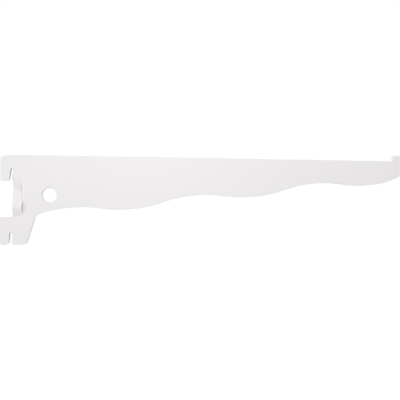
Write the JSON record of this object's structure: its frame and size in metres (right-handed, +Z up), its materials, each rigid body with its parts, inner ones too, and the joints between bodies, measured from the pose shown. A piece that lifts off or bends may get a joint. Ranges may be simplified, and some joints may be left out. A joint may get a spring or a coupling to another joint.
{
  "type": "slotted shelf bracket",
  "caption": "Flat punched steel shelf bracket with rail hooks at its wall end, a pressed steadying strip between them, a round hole, a wavy lower edge and a turned-up tip.",
  "frame": {"origin": "mid-sheet, on the line where the rail's front face meets the underside of the shelf, which is the bracket's straight top edge", "axes": "+X along the arm, away from the rail; +Z up, out of the top edge; Y through the sheet, with the pictured side at -Y"},
  "size_m": [0.3262, 0.0075, 0.0742],
  "materials": {
    "white_powder_coat": "semi-matt white powder coat with a fine orange-peel texture"
  },
  "bodies": {
    "root": {"shelf_bracket": "white_powder_coat"}
  },
  "joints": []
}
